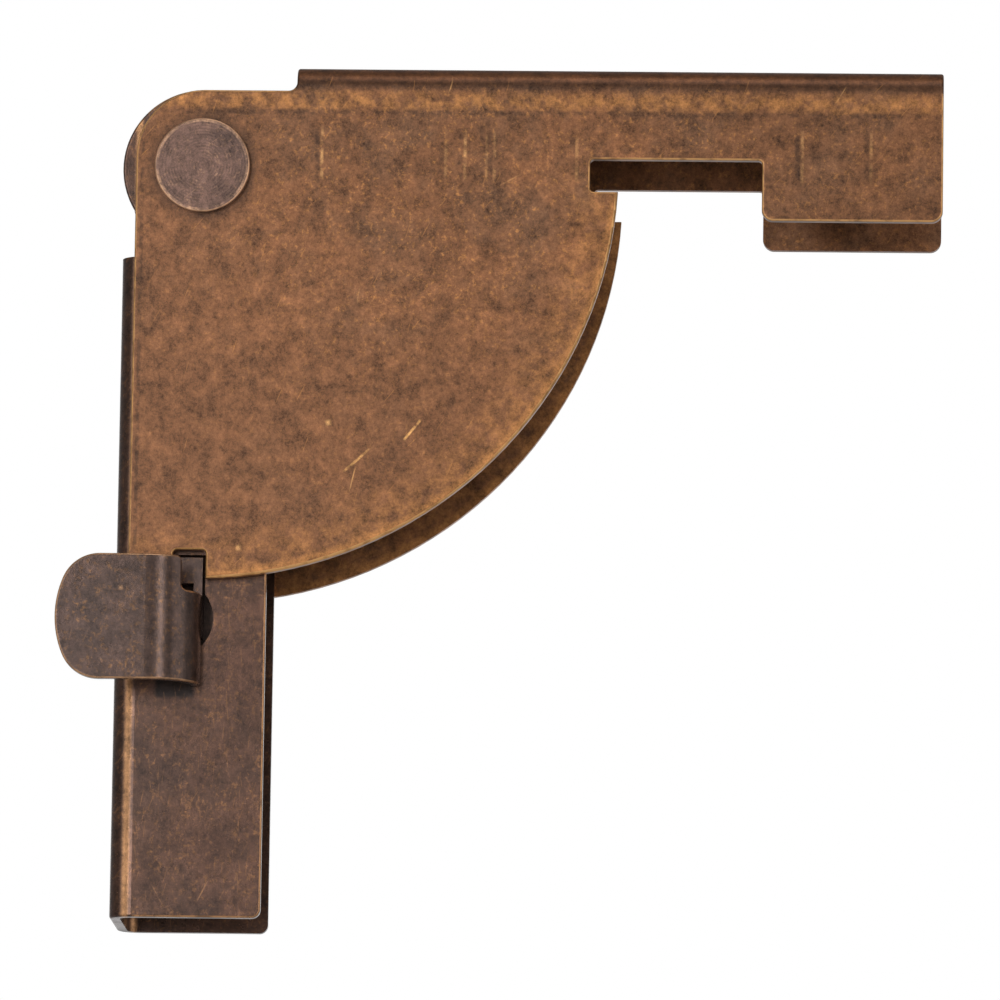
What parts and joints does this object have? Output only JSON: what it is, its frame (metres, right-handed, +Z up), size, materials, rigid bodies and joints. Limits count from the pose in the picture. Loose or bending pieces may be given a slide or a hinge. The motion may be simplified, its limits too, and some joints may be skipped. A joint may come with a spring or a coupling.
{
  "type": "table leg hinge",
  "caption": "Folding table leg hinge: a folded bracket with quarter-round cheeks, a swinging leg channel on a flat rivet and a thumb latch that locks it open or folded.",
  "frame": {"origin": "middle of the two table screws, on the bracket's face that meets the table top", "axes": "+Z up into the table top, +X along the bracket's arm away from the pivot, +Y from the latch side to the rear"},
  "size_m": [0.1222, 0.0321, 0.1197],
  "materials": {
    "bracket_bronze": "antique bronze plated steel, tumbled, edges worn to copper",
    "leg_bronze": "darker antique bronze plated steel",
    "rivet_bronze": "antique bronze plated steel, turned face",
    "latch_bronze": "darker antique bronze plated steel",
    "inner_steel": "dull bronzed steel"
  },
  "bodies": {
    "bracket": {"top_bracket": "bracket_bronze", "pivot_rivet": "rivet_bronze", "front_washer": "inner_steel", "rear_washer": "inner_steel"},
    "leg": {"leg_channel": "leg_bronze", "pivot_sleeve": "inner_steel", "latch_spring": "inner_steel"},
    "latch": {"thumb_latch": "latch_bronze", "latch_foot": "inner_steel"}
  },
  "joints": [
    {"name": "leg_fold", "type": "hinge", "parent": "bracket", "child": "leg", "pos_m": [-0.05815, 0, -0.0145], "axis": [0, -1, 0], "range_deg": [0, 90]},
    {"name": "latch_press", "type": "slide", "parent": "leg", "child": "latch", "axis": [0, 1, 0], "range_m": [-0.0019, 0], "stiffness_N_per_m": 800, "springref_m": -0.004}
  ]
}
